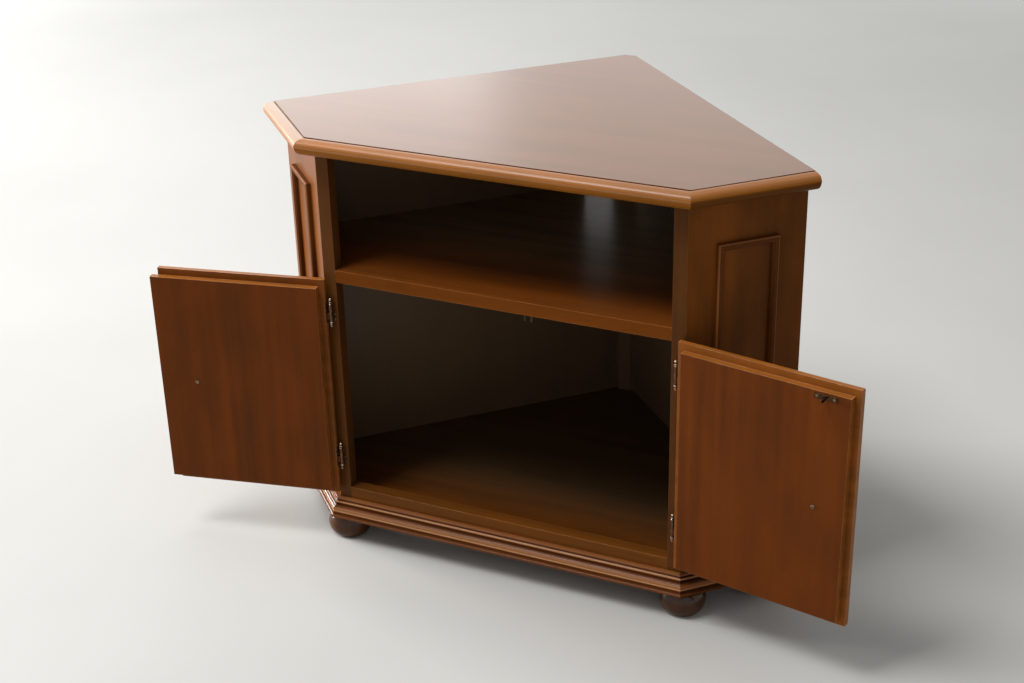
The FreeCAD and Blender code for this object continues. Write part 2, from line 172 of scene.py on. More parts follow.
def woodGroup():
    # grain runs along the third coordinate: soft ribbons that come and go, fine fibre, pores, slow mottle
    group, entry, leave = newGroup(
        "woodFigure",
        {"Place": None, "Seed": 0.0, "Dark": (0.03, 0.01, 0.005, 1), "Light": (0.12, 0.04, 0.015, 1),
         "Ribbons per metre": 40.0, "Ribbon": 0.5, "Fibre": 0.3, "Pores": 0.3, "Mottle": 0.3},
        {"Colour": "NodeSocketColor", "Relief": "NodeSocketFloat", "Shine": "NodeSocketFloat"})
    w = Wiring(group)
    given = entry.outputs
    scales = figureScales

    def spread(value, factors):
        # one value as a vector, with a factor for each axis
        return w.fill(w.add("ShaderNodeCombineXYZ"), *(w.times(value, factor) for factor in factors))[0]

    def share(value, low, high, amount):
        return w.times(w.maths("SUBTRACT", w.span(value, low, high), 0.5), amount)

    place = w.vectorMaths("ADD", given["Place"], spread(given["Seed"], scales["seedStep"]))
    pitch = spread(given["Ribbons per metre"], scales["ribbonPitch"])
    ribbonPlace = w.vectorMaths("MULTIPLY", place, pitch)
    broad = w.noise(ribbonPlace, scales["broad"], 1.5, 0.45, 0.3)
    fine = w.noise(ribbonPlace, scales["fine"], 2.0, 0.5, 0.2)
    patch = w.noise(place, scales["patch"], 1.0)
    fibre = w.noise(place, scales["fibre"], 3.0, 0.6)
    pore = w.noise(place, scales["pore"], 1.0)
    mottle = w.noise(place, scales["mottle"], 3.0, 0.55)
    strength = w.times(given["Ribbon"], w.span(patch, 0.36, 0.64, 0.35, 1.0))
    tone = share(broad, 0.28, 0.72, strength)
    tone = w.maths("ADD", tone, w.times(share(fine, 0.25, 0.75, strength), 0.45))
    tone = w.maths("ADD", tone, share(fibre, 0.25, 0.75, given["Fibre"]))
    tone = w.maths("ADD", tone, share(mottle, 0.25, 0.75, given["Mottle"]))
    tone = w.maths("ADD", tone, 0.5, clamp=True)
    poreMask = w.times(w.span(pore, 0.60, 0.72), given["Pores"])
    colour = w.mix(poreMask, w.mix(tone, given["Dark"], given["Light"]), scales["poreColour"])
    relief = w.maths("SUBTRACT", w.times(fibre, 0.6), poreMask)
    shine = w.maths("ADD", w.times(mottle, 0.5), w.times(fibre, 0.5))
    w.fill(leave, colour, relief, shine)
    return group


# settings of the pale arris marks: rubbed wear, and painted highlights along the arrises
rubbing = {"turn": (0.995, 0.86), "patchScale": (45.0, 45.0, 45.0), "patch": (0.3, 0.62, 0.35, 1.0)}


def wearGroup():
    # how far the rounded normal leaves the face's own, broken up by noise: rubbed arrises, and painted
    # highlights along the arrises
    group, entry, leave = newGroup(
        "arrisWear", {"Place": None, "Radius": 0.0015, "Amount": 0.5}, {"Wear": "NodeSocketFloat"})
    w = Wiring(group)
    rounded = w.fill(w.add("ShaderNodeBevel", samples=4), entry.outputs["Radius"])["Normal"]
    flat = w.add("ShaderNodeNewGeometry").outputs["Normal"]
    edge = w.span(w.dot(rounded, flat), *rubbing["turn"])
    patch = w.noise(entry.outputs["Place"], rubbing["patchScale"], 3.0, 0.6)
    rubbed = w.times(edge, w.span(patch, *rubbing["patch"]))
    w.fill(leave, w.maths("MULTIPLY", rubbed, entry.outputs["Amount"], clamp=True))
    return group


woodFigure = woodGroup()
arrisWear = wearGroup()
print("node groups ready")


def srgb(red, green, blue):
    # colour as seen on a screen, 0 to 255, as the linear colour that a shader takes
    value = np.array([red, green, blue]) / 255.0
    linear = np.where(value <= 0.04045, value / 12.92, ((value + 0.055) / 1.055) ** 2.4)
    return (*[float(part) for part in linear], 1.0)


def emptyTree(owner):
    owner.use_nodes = True
    owner.node_tree.nodes.clear()
    return Wiring(owner.node_tree)


def newMaterial(name):
    material = bpy.data.materials.new(name)
    w = emptyTree(material)
    shader = w.add("ShaderNodeBsdfPrincipled")
    w.fill(w.add("ShaderNodeOutputMaterial"), shader.outputs[0])
    return material, w, shader


grainTurns = {"up": (0.0, 0.0, 0.0), "across": (0.0, math.radians(-90.0), 0.0)}

lacquer = {
    "colour": srgb(98, 49, 14), "spread": 0.30, "ribbons": 34.0, "ribbon": 0.8, "fibre": 0.22,
    "pores": 0.12, "mottle": 0.3, "rough": 0.3, "roughSpread": 0.08, "relief": 0.06,
    "reliefDepth": 0.0003, "specular": 0.06, "wear": 0.35, "wearRadius": 0.0015,
    "wearColour": srgb(168, 108, 62), "wearSide": 1.0, "grain": "up", "fromPiece": False, "seed": 0.0,
    "faceNormal": None, "edgeColour": None, "lipAt": 0.0, "grooveColour": None, "wallColour": None,
    "shadeColour": srgb(36, 15, 5), "ridgeColour": srgb(214, 158, 106), "deepColour": None,
    "deepFrom": 0.04, "deepTo": 0.24, "glossFrom": 0.16, "glossTo": 0.42, "dullShare": 0.1, "dullAt": 0.7,
}


def tones(colour, spread):
    # a darker, greyer tone and a lighter, warmer one on either side of a colour
    lean = spread * np.array([1.0, 0.8, 0.45])
    middle = np.array(colour[:3])
    return (*(middle * (1.0 - lean)).tolist(), 1.0), (*(middle * (1.0 + lean)).tolist(), 1.0)


def figured(w, place, look, colour, seedStep=0.0, ribbons=None):
    # one placed copy of the wood figure, set to a look
    figure = w.add("ShaderNodeGroup", node_tree=woodFigure)
    dark, light = tones(colour, look["spread"])
    w.feedAll(figure, {
        "Place": place,
        "Seed": look["seed"] + seedStep,
        "Dark": dark,
        "Light": light,
        "Ribbons per metre": ribbons or look["ribbons"],
    })
    for label in ("Ribbon", "Fibre", "Pores", "Mottle"):
        figure.inputs[label].default_value = look[label.lower()]
    return figure


def turnedPlace(w, place, grain):
    turn = w.add("ShaderNodeMapping")
    w.feedAll(turn, {"Rotation": grainTurns[grain], "Vector": place})
    return turn.outputs["Vector"]


def rubbedArris(w, place, look):
    wear = w.add("ShaderNodeGroup", node_tree=arrisWear)
    w.feedAll(wear, {"Place": place, "Amount": look["wear"], "Radius": look["wearRadius"]})
    return wear.outputs["Wear"]


lipping = {"seedStep": 4.0, "ribbons": 60.0}

# how each mask fades: from, to, and the values there where they aren't nought and one
masks = {
    "wallward": (0.2, 0.5),
    "offFace": (0.93, 0.75),
    "lipLine": (0.0009, 0.0004, 0.0, 0.6),
    "offTop": (0.97, 0.9),
    "offSide": (0.35, 0.55),
    "leftward": (0.55, 0.66, 1.0, 0.05),
    "frontLine": (0.0026, 0.0012, 0.0, 0.9),
    "grooveDull": (0.0, 0.6),
    "upward": (0.1, 0.5),
}


def lacquered(name, **changes):
    # lacquered wood; its figure follows object space, or the piece's own grainPlace attribute
    look = dict(lacquer, **changes)
    material, w, shader = newMaterial(name)
    space = w.add("ShaderNodeTexCoord").outputs
    here, facing = space["Object"], space["Normal"]
    place = w.attribute("grainPlace", "Vector") if look["fromPiece"] else turnedPlace(w, here, look["grain"])
    figure = figured(w, place, look, look["colour"])
    colour = figure.outputs["Colour"]
    dull = None
    if look["deepColour"]:
        # painted light: boards inside the bays turn greyer towards the back, a painted glare, by depth
        # behind the face
        depth = w.maths("SUBTRACT", w.axes(here)["Y"], faceY)
        hidden = figured(w, place, look, look["deepColour"])
        colour = w.mix(w.span(depth, look["deepFrom"], look["deepTo"]), colour, hidden.outputs["Colour"])
        dull = w.span(depth, look["glossFrom"], look["glossTo"], 1.0, 0.0)
    if look["wallColour"]:
        # the hidden outer side is unstained, found by how far the normal faces back
        bare = figured(w, place, look, look["wallColour"])
        wallward = w.span(w.dot(facing, (0.0, 1.0, 0.0)), *masks["wallward"])
        colour = w.mix(wallward, colour, bare.outputs["Colour"])
    if look["edgeColour"]:
        # board edges show lighter solid lippings, found by how far the normal leaves the board's face
        leaning = w.maths("ABSOLUTE", w.dot(facing, look["faceNormal"]))
        offLip = w.maths("ABSOLUTE", w.maths("SUBTRACT", w.dot(here, look["faceNormal"]), look["lipAt"]))
        onEdge = w.maths("MAXIMUM", w.span(leaning, *masks["offFace"]), w.span(offLip, *masks["lipLine"]))
        edge = figured(w, turnedPlace(w, here, "across"), look, look["edgeColour"], **lipping)
        colour = w.mix(onEdge, colour, edge.outputs["Colour"])
    if look["grooveColour"]:
        # the chamfer along the joint with the edging lies half way between face and edge; it is darkened, a
        # dark joint with painted shade
        flat = w.add("ShaderNodeNewGeometry").outputs["True Normal"]
        slope = w.maths("ABSOLUTE", w.dot(flat, look["faceNormal"]))
        groove = w.times(w.span(slope, *masks["offTop"]), w.span(slope, *masks["offSide"]))
        # painted light: along the left side, which faces the lamps, the groove is hardly darkened, found by
        # how far the chamfer faces that way
        groove = w.times(groove, w.span(w.dot(flat, (-half, -half, 0.0)), *masks["leftward"]))
        # painted shade: a dark strip along the front joint, by distance behind the field's front line
        toFront = w.maths("SUBTRACT", w.axes(here)["Y"], topLow.y)
        groove = w.maths("MAXIMUM", groove, w.span(toFront, *masks["frontLine"]))
        colour = w.mix(groove, colour, look["grooveColour"])
        dull = w.span(groove, *masks["grooveDull"])
    # rubbed arrises and painted arris highlights, mixed in paler
    rubbed = rubbedArris(w, here, look)
    if look["wearSide"] < 1.0:
        # painted highlight: arrises that face up are paler than upright ones, by the rise of the normal
        rubbed = w.times(rubbed, w.span(w.axes(facing)["Z"], *masks["upward"], look["wearSide"], 1.0))
    colour = w.mix(rubbed, colour, look["wearColour"])
    if look["fromPiece"]:
        # the piece's own mask of painted shade and highlight: above nought darker, below nought paler
        shade = w.attribute("quirk")
        sunk = w.maths("MAXIMUM", shade, 0.0)
        colour = w.mix(sunk, colour, look["shadeColour"])
        dull = w.span(sunk, 0.0, look["dullAt"])
        colour = w.mix(w.maths("MAXIMUM", w.times(shade, -1.0), 0.0), colour, look["ridgeColour"])
    rough = w.times(w.maths("SUBTRACT", figure.outputs["Shine"], 0.5), look["roughSpread"])
    rough = w.maths("ADD", rough, look["rough"], clamp=True)
    specular = look["specular"]
    if dull:
        # where the gloss comes and goes it lies in the coat;
        # a full coat is as bright as a specular level of a half
        coat = 2.0 * specular * (1.0 - look["dullShare"])
        coat = w.span(dull, 0.0, 1.0, coat, 0.0)
        w.feedAll(shader, {"Coat Weight": coat, "Coat Roughness": look["rough"]})
        specular *= look["dullShare"]
    w.feedAll(shader, {"Base Color": colour, "Roughness": rough, "Specular IOR Level": specular})
    w.bump(shader, figure.outputs["Relief"], look["relief"], look["reliefDepth"])
    return material


metal = {
    "dark": srgb(62, 46, 34), "light": srgb(176, 142, 112), "rough": 0.22, "roughSpread": (0.12, -0.06),
    "speckle": 260.0, "wear": 0.5, "wearRadius": 0.0006, "relief": 0.15, "reliefDepth": 0.0002,
    "barrelAt": None, "barrelRadius": (0.0030, 0.0036), "leafColour": srgb(88, 54, 26), "leafMetal": 0.15,
    "leafSpecular": 0.08, "hollowColour": None,
}


def metalFinish(name, **changes):
    # plated metal: slow tarnish and fine speckle between two tones, brighter on rubbed arrises
    look = dict(metal, **changes)
    material, w, shader = newMaterial(name)
    place = w.add("ShaderNodeTexCoord").outputs["Object"]
    slow = w.noise(place, (look["speckle"],) * 3, 3.0, 0.6)
    quick = w.noise(place, (look["speckle"] * 7.0,) * 3)
    tone = w.maths("ADD", w.times(w.span(slow, 0.3, 0.7), 0.7), w.times(quick, 0.3), clamp=True)
    colour = w.mix(tone, look["dark"], look["light"])
    colour = w.mix(rubbedArris(w, place, look), colour, look["light"])
    if look["hollowColour"]:
        # tarnish and painted shade darken the hollows between turned beads, by the piece's own mask
        colour = w.mix(w.attribute("quirk"), colour, look["hollowColour"])
    if look["barrelAt"]:
        # tarnish covers the flat of the leaf; the barrel round the pin, within its radius, stays bright
        across = w.axes(place)
        aside = w.maths("SUBTRACT", w.maths("ABSOLUTE", across["X"]), look["barrelAt"][0])
        ahead = w.maths("SUBTRACT", across["Y"], look["barrelAt"][1])
        away = w.maths("SQRT", w.maths("ADD", w.maths("POWER", aside, 2.0), w.maths("POWER", ahead, 2.0)))
        leaf = w.span(away, *look["barrelRadius"])
        colour = w.mix(leaf, colour, look["leafColour"])
        bare = w.span(leaf, 0.0, 1.0, 1.0, look["leafMetal"])
        w.feedAll(shader, {"Metallic": bare, "Specular IOR Level": look["leafSpecular"]})
    else:
        shader.inputs["Metallic"].default_value = 1.0
    rough = w.span(tone, 0.0, 1.0, *(look["rough"] + step for step in look["roughSpread"]))
    w.feedAll(shader, {"Base Color": colour, "Roughness": rough})
    w.bump(shader, quick, look["relief"], look["reliefDepth"])
    return material


nylon = {"dark": srgb(54, 41, 27), "light": srgb(72, 57, 39), "rough": (0.42, 0.55), "specular": 0.15,
         "cloud": 180.0, "grain": 2600.0, "relief": 0.1, "reliefDepth": 0.0002}


def nylonFinish(name):
    # moulded nylon: faint cloud in the colour and a fine moulded grain
    material, w, shader = newMaterial(name)
    place = w.add("ShaderNodeTexCoord").outputs["Object"]
    cloud = w.noise(place, (nylon["cloud"],) * 3)
    grain = w.noise(place, (nylon["grain"],) * 3)
    colour = w.mix(w.span(cloud, 0.3, 0.7), nylon["dark"], nylon["light"])
    rough = w.span(grain, 0.2, 0.8, *nylon["rough"])
    w.feedAll(shader, {"Base Color": colour, "Roughness": rough, "Specular IOR Level": nylon["specular"]})
    w.bump(shader, grain, nylon["relief"], nylon["reliefDepth"])
    return material


jointOf = {joint["child"]: joint for joint in frame["joints"]}
doorSign = {"left": -1.0, "right": 1.0}


def doorTurn(side):
    # angle about +Z, in radians, from the shut door to the door as it stands at rest
    return math.radians(-doorSign[side] * jointOf["door_" + side]["range_deg"][0])


def doorNormal(side):
    angle = doorTurn(side)
    return (math.sin(angle), -math.cos(angle), 0.0)


def nodePoints(name):
    mesh = nodes[name].data
    flat = np.empty(len(mesh.vertices) * 3)
    mesh.vertices.foreach_get("co", flat)
    return flat.reshape(-1, 3)


def middleOf(values):
    return 0.5 * (values.min(axis=0) + values.max(axis=0))


def lipLevel(side):
    # how far the back of the door's lip lies along the door's normal: the middle of its three planes
    depths = nodePoints(f"door_{side}_panel") @ np.array(doorNormal(side))
    return float(np.unique(np.round(depths, 4))[1])


trim = {"fromPiece": True, "ribbons": 70.0, "ribbon": 0.4}  # solid mouldings
board = {"grain": "across", "ribbon": 0.5}  # boards that lie along the front

topVeneer = lacquered(
    "topVeneer", **board, colour=srgb(118, 77, 45), ribbons=22.0, spread=0.16, seed=1.0, rough=0.32,
    relief=0.02, fibre=0.1, pores=0.03, wear=0.0, specular=0.48, faceNormal=(0.0, 0.0, 1.0),
    grooveColour=srgb(66, 32, 14), dullShare=0.0)
edgeWood = lacquered(
    "edgeWood", **trim, colour=srgb(157, 94, 29), seed=2.0, rough=0.34, wear=0.08,
    wearColour=srgb(206, 156, 110), specular=0.46, dullAt=0.13, ridgeColour=srgb(158, 124, 96))
plinthWood = lacquered(
    "plinthWood", **dict(trim, ribbon=0.35), colour=srgb(117, 62, 20), seed=3.0, rough=0.22, wear=0.3,
    wearColour=srgb(204, 150, 104), specular=0.24)
stickWood = lacquered(
    "stickWood", **trim, colour=srgb(98, 52, 17), seed=4.0, wear=0.3, wearColour=srgb(170, 116, 72),
    ridgeColour=srgb(168, 112, 66))
stileWood = lacquered("stileWood", colour=srgb(87, 51, 20), seed=5.0, ribbons=55.0, ribbon=0.4, mottle=0.5)
sideVeneer = lacquered(
    "sideVeneer", colour=srgb(115, 64, 20), seed=6.0, ribbons=24.0, ribbon=0.5, mottle=0.7, spread=0.32)
# painted highlight: a pale line along the shelf's arrises; painted glare: greyer towards the back
shelfWood = lacquered(
    "shelfWood", **board, colour=srgb(114, 61, 20), seed=7.0, specular=0.07, rough=0.24,
    deepColour=srgb(116, 97, 71), wear=0.9, wearColour=srgb(214, 150, 96))
# painted highlight: a pale line along the rail's arrises
railWood = lacquered(
    "railWood", **board, colour=srgb(106, 61, 20), seed=8.0, wear=0.9, wearColour=srgb(206, 144, 94))
innerVeneer = lacquered(
    "innerVeneer", colour=srgb(104, 83, 61), seed=9.0, specular=0.2, ribbon=0.25, spread=0.2, fibre=0.1,
    wallColour=srgb(128, 86, 50))
# painted glare: the floor board greyer towards the back
floorVeneer = lacquered(
    "floorVeneer", **board, colour=srgb(98, 52, 14), seed=10.0, specular=0.15,
    deepColour=srgb(80, 60, 39), deepFrom=0.02, deepTo=0.2)
baseWood = lacquered("baseWood", grain="across", colour=srgb(82, 48, 26), seed=11.0, rough=0.5, wear=0.1)
footWood = lacquered("footWood", fromPiece=True, colour=srgb(70, 39, 15), seed=12.0, rough=0.16, wear=0.0,
                     ribbons=60.0, specular=0.26)
# painted highlight: pale lines along the doors' arrises, mostly the upper ones, stand in for highlights
doorVeneer = {
    side: lacquered("doorVeneer." + side, colour=srgb(100, 49, 12), ribbons=32.0, ribbon=0.6, fibre=0.16,
                    mottle=0.45, spread=0.3, seed=13.0 + doorSign[side], faceNormal=doorNormal(side),
                    edgeColour=srgb(152, 90, 34), wear=1.0, wearColour=srgb(232, 188, 150), wearSide=0.15,
                    lipAt=lipLevel(side))
    for side in doorSign
}
antiqueBrass = metalFinish(
    "antiqueBrass", dark=srgb(98, 80, 66), light=srgb(226, 200, 178), hollowColour=srgb(24, 15, 9))
knobBrass = metalFinish("knobBrass", dark=srgb(84, 58, 30), light=srgb(168, 128, 76), rough=0.28)
hingeAt = jointOf["door_right"]["pos_m"]
leafBrass = metalFinish(
    "leafBrass", barrelAt=(abs(hingeAt[0]), hingeAt[1]), dark=srgb(58, 39, 30), light=srgb(132, 96, 76))
plateSteel = metalFinish("plateSteel", dark=srgb(50, 33, 20), light=srgb(88, 64, 42), rough=0.3)
screwSteel = metalFinish("screwSteel", dark=srgb(52, 42, 32), light=srgb(150, 128, 102), rough=0.24)
darkNylon = nylonFinish("darkNylon")
print("materials ready,", len(bpy.data.materials))


def gridFaces(rows, columns, around):
    # quads of a rows by columns grid of points; around closes each row on itself
    index = np.arange(rows * columns).reshape(rows, columns)
    ahead = np.roll(index, -1, axis=1) if around else index[:, 1:]
    here = index if around else index[:, :-1]
    return np.stack([here[:-1], ahead[:-1], ahead[1:], here[1:]], axis=-1).reshape(-1, 4)


def gatherParts(parts):
    # several parts of points, faces, grain and quirk as one set of arrays
    points, grain, quirk = (
        np.concatenate([part[key] for part in parts]) for key in ("points", "grain", "quirk"))
    starts = np.cumsum([0] + [len(part["points"]) for part in parts[:-1]])
    faces = []
    for part, start in zip(parts, starts):
        for block in part["faces"]:
            faces += (np.asarray(block) + start).tolist()
    return points, faces, grain, quirk


def addObject(name, data):
    thing = bpy.data.objects.new(name, data)
    scene.collection.objects.link(thing)
    return thing


def setMask(mesh, name, kind, field, values):
    layer = mesh.attributes.new(name, kind, "POINT")
    layer.data.foreach_set(field, values.astype(np.float32).ravel())


def roundArris(piece, width, angle):
    rounding = piece.modifiers.new("arris", "BEVEL")
    rounding.width = width
    rounding.segments = 2
    rounding.limit_method = "ANGLE"
    rounding.angle_limit = math.radians(angle)
    return rounding


def makePiece(name, parts, body, material, replaced=(), sharp=40.0, bevel=0.0):
    points, faces, grain, quirk = gatherParts(parts)
    mesh = bpy.data.meshes.new(name)
    mesh.from_pydata(points.tolist(), [], faces)
    mesh.update()
    work = bmesh.new()
    work.from_mesh(mesh)
    bmesh.ops.recalc_face_normals(work, faces=work.faces)
    work.to_mesh(mesh)
    work.free()
    setMask(mesh, "grainPlace", "FLOAT_VECTOR", "vector", grain)
    setMask(mesh, "quirk", "FLOAT", "value", quirk)
    mesh.polygons.foreach_set("use_smooth", np.ones(len(mesh.polygons), bool))
    mesh.set_sharp_from_angle(angle=math.radians(sharp))
    mesh.materials.append(material)
    piece = addObject(name, mesh)
    if bevel:
        roundArris(piece, bevel, sharp).harden_normals = True
    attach(piece, body)
    if replaced:
        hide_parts(*replaced)


def bow(start, end, rise=0.0, steps=8):
    # chord from start to end lifted by a parabola: p(t) = start + t chord + 4 rise t (1 - t) normal
    start, end = np.array(start, float), np.array(end, float)
    chord = end - start
    normal = np.array([-chord[1], chord[0]]) / np.linalg.norm(chord)
    t = np.linspace(0.0, 1.0, steps + 1)[:, None] if rise else np.array([[0.0], [1.0]])
    return start + t * chord + 4.0 * rise * t * (1.0 - t) * normal


def outline(strokes):
    # profile through a list of (point, rise of the stretch that leads to it), doubles dropped
    points = [np.array([strokes[0][0]], float)]
    for (last, _), (here, rise) in zip(strokes[:-1], strokes[1:]):
        points.append(bow(last, here, rise)[1:])
    return np.concatenate(points)


def asPart(points, faces, quirk, grain=None):
    # one part of a piece; without a grain of its own it takes its place before any swing
    return {"points": points, "faces": faces, "grain": points if grain is None else grain, "quirk": quirk}


def crossAxes(axis, aside):
    # two unit directions across an axis, the first of them across another direction too
    across = np.cross(axis, aside)
    across /= np.linalg.norm(across)
    return across, np.cross(axis, across)


def carried(profile, stations, sweeps, start, quirk):
    # profile (a, b) carried along stations: p = station + a sweepA + b sweepB, both ends capped
    stations = np.asarray(stations, float)
    count = len(profile)
    sweepA, sweepB = (np.asarray(sweep, float)[:, None, :] for sweep in sweeps)
    points = stations[:, None, :] + profile[None, :, :1] * sweepA + profile[None, :, 1:] * sweepB
    lengths = np.linalg.norm(np.diff(points.mean(axis=1), axis=0), axis=1)
    along = np.concatenate([[0.0], np.cumsum(lengths)]) + start
    grain = np.empty((len(stations), count, 3))
    grain[:, :, :2] = profile
    grain[:, :, 2] = along[:, None]
    first = np.arange(count)
    last = first + (len(stations) - 1) * count
    faces = [gridFaces(len(stations), count, True), [first], [last]]
    return asPart(points.reshape(-1, 3), faces, np.tile(quirk, len(stations)), grain.reshape(-1, 3))


def turnedPart(profile, centre, segments, axis=up, quirk=0.0):
    # (radius, height) profile turned about an axis: p = centre + h axis + r (cos u, sin u) across it
    axis = np.array(axis, float)
    mask = np.broadcast_to(quirk, len(profile))
    across, other = crossAxes(axis, (0.31, 0.77, 0.55))
    u = np.linspace(0.0, 2.0 * np.pi, segments, endpoint=False)
    ring = np.cos(u)[:, None] * across + np.sin(u)[:, None] * other
    inner = profile[1:-1]
    body = np.asarray(centre) + inner[:, None, 1:] * axis + inner[:, None, :1] * ring[None]
    poles = np.asarray(centre) + profile[[0, -1], 1:] * axis
    points = np.concatenate([body.reshape(-1, 3), poles])
    count = len(inner) * segments
    first = np.arange(segments)
    final = first + count - segments
    fans = [
        np.stack([np.full(segments, count), np.roll(first, -1), first], axis=-1),
        np.stack([np.full(segments, count + 1), final, np.roll(final, -1)], axis=-1),
    ]
    quirk = np.concatenate([np.repeat(mask[1:-1], segments), mask[[0, -1]]])
    return asPart(points, [gridFaces(len(inner), segments, True)] + fans, quirk)


topEdge = {
    "groove": 0.8, "grooveRun": 1.2, "sunk": 0.6, "fall": 1.7, "shoulder": 8.5, "noseDrop": 8.6,
    "noseStep": 0.45, "noseFlat": 1.1, "noseEase": 0.15, "foot": 22.0,
    "rises": (0.3, 1.9, 3.3),  # swell of shoulder, nose and the round under it
    # tints paint shade and highlight down the nose; rightTint and rightRoll are painted shade on the right
    # run, leftRoll a painted reflection on the left run's shoulder
    "arrisBevel": 0.00018, "tintFrom": 3.0, "tintFade": (0.5, 0.3),
    "tints": (0.0, 0.03, 0.12, -0.2, 0.11, 0.26), "rightTint": 0.5, "rightRoll": 0.045,
    "leftRoll": (-0.75, 0.08), "leftFade": (3.0, 5.5),
}


def topEdgeProfile():
    # groove at the field, a shoulder that falls to a small step at the nose, and a round under it
    edgeLow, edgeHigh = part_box("top_edge_front")
    inside = (faceY - edgeHigh.y) / millimetre
    nose = (faceY - edgeLow.y) / millimetre
    under = -(topHigh.z - topLow.z) / millimetre
    v = topEdge
    shoulder = nose - v["shoulder"]
    step = -v["noseDrop"]
    flat = step - v["noseFlat"]
    strokes = [
        ((inside, under), 0.0),
        ((inside, -v["groove"] - v["sunk"]), 0.0),
        ((inside + v["groove"], -v["sunk"]), 0.0),
        ((inside + v["grooveRun"] * v["groove"], -v["sunk"]), 0.0),
        ((shoulder, -v["fall"]), v["rises"][0]),
        ((nose - v["noseStep"], step), v["rises"][1]),
        ((nose, step - v["noseEase"]), 0.0),
        ((nose, flat), 0.0),
        ((v["foot"], under), v["rises"][2]),
    ]
    profile = outline(strokes)
    # painted shade and highlight down the profile: a little darker at the step, paler on the small flat
    # under it, darker down the round under the nose
    before, after = v["tintFade"]
    knots = [v["tintFrom"], -step - before, -step, -flat, after - flat, -under]
    quirk = np.interp(-profile[:, 1], knots, v["tints"])
    quirk[:1] = 0.0
    quirk[1:3] = 1.0  # the groove against the top's field, darker: a dark joint with painted shade
    return profile * millimetre + np.array([0.0, topHigh.z]), quirk


plinth = {
    "ledge": 6.2, "nose": 3.0, "quirk": 3.4, "ridge": 1.0, "base": 3.2, "step": 1.2, "quirkSink": 0.7,
    # tints: painted shade in quirk and coves, painted highlight on bead and ridges; rightTint is painted
    # shade on the right run
    "coveSink": 1.2, "beadSwell": 1.5, "tints": (0.75, 0.75, -0.3, 0.6), "ridgeTint": -0.6,
    "ledgeTint": -0.12, "baseTint": 0.25, "rightTint": 0.3, "arrisBevel": 0.00022,
}


def plinthProfile():
    # ledge, quirk, cove, bead and lower cove, each standing out past the last, parted by fine ridges
    low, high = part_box("plinth_front")
    reach = (faceY - low.y) / millimetre
    tall = (high.z - low.z) / millimetre
    v = plinth
    member = (tall - v["nose"] - v["quirk"] - 2.0 * v["ridge"] - v["base"]) / 3.0
    members = [
        (v["quirk"], -v["quirkSink"], v["ridge"]),
        (member, -v["coveSink"], 0.0),
        (member, v["beadSwell"], v["ridge"]),
        (member, -v["coveSink"], v["base"]),
    ]
    growth = (reach - v["ledge"]) / len(members) - v["step"]
    out, z = v["ledge"], -v["nose"]
    strokes = [((0.0, -tall), 0.0), ((0.0, 0.0), 0.0), ((out, 0.0), 0.0), ((out, z), 0.0)]
    # the stain lies dark in quirk and coves and is rubbed pale on ledge, ridges and bead, by height
    # painted shade darkens quirk and coves, a painted highlight makes ledge, ridges and bead paler, and the
    # base is a little darker, by height
    knots, tints = [0.0, v["nose"]], [v["ledgeTint"]] * 2
    for (height, swell, ridge), tint in zip(members, v["tints"]):
        knots += [0.3 * height - z, 0.7 * height - z]
        tints += [tint, tint]
        z -= height
        strokes.append(((out + growth, z), swell))
        out += growth + v["step"]
        strokes.append(((out, z), 0.0))
        if ridge:
            knots += [-z, ridge - z]
            tints += [v["ridgeTint"] if ridge < v["base"] else v["baseTint"]] * 2
            z -= ridge
            strokes.append(((out, z), 0.0))
    profile = outline(strokes[:-1] + [((reach, -tall), 0.0)])
    quirk = np.interp(-profile[:, 1], knots, tints)
    return profile * millimetre + np.array([0.0, high.z]), quirk


def edgeRuns(label, profile, quirk, material, bevel, stains):
    # three runs, mitred at the front arrises and square at the rear ends
    corner = np.array([mitre, -1.0, 0.0])
    flip = np.array([-1.0, 1.0, 1.0])
    wallEnd = arris + sideDir * sideLength
    runs = {
        "front": ([arris * flip, arris], [corner * flip, corner]),
        "right": ([arris, wallEnd], [corner, sideOut]),
        "left": ([wallEnd * flip, arris * flip], [sideOut * flip, corner * flip]),
    }
    for offset, (side, (stations, sweep)) in enumerate(runs.items()):
        part = carried(profile, stations, (sweep, [up, up]), 1.3 * offset, stains.get(side, quirk))
        makePiece(label + "." + side, [part], "case", material, [label + "_" + side],
                  bevel=bevel)


edgeProfile, edgeStain = topEdgeProfile()
edgeDepth = (topHigh.z - edgeProfile[:, 1]) / millimetre
underNose = edgeDepth > topEdge["noseDrop"] + topEdge["noseFlat"]
leftRoll = np.interp(edgeDepth, topEdge["leftFade"], topEdge["leftRoll"])
# painted light: the left run's shoulder is paler, a painted reflection, and the right run darker, most under
# the nose, a painted shade
sideStains = {
    "left": np.where(underNose, edgeStain, leftRoll),
    "right": edgeStain + np.where(underNose, topEdge["rightTint"], topEdge["rightRoll"]),
}
edgeRuns("top_edge", edgeProfile, edgeStain, edgeWood, topEdge["arrisBevel"], sideStains)
plinthShape, plinthStain = plinthProfile()
# painted shade: the plinth's right run is darker
edgeRuns("plinth", plinthShape, plinthStain, plinthWood, plinth["arrisBevel"],
         {"right": np.minimum(plinthStain + plinth["rightTint"], 1.0)})
print("top edge and plinth mouldings made")


stick = {
    "width": 10.5, "round": 2.4, "roundSwell": 0.29, "quirkAt": 7.0, "quirkDrop": 0.7, "innerHeight": 4.6,
    # quirkTint paints shade in the quirk, roundTint a highlight along the outer round
    "innerSwell": 0.55, "quirkTint": 0.8, "roundTint": -0.45, "bevel": 0.00015,
}


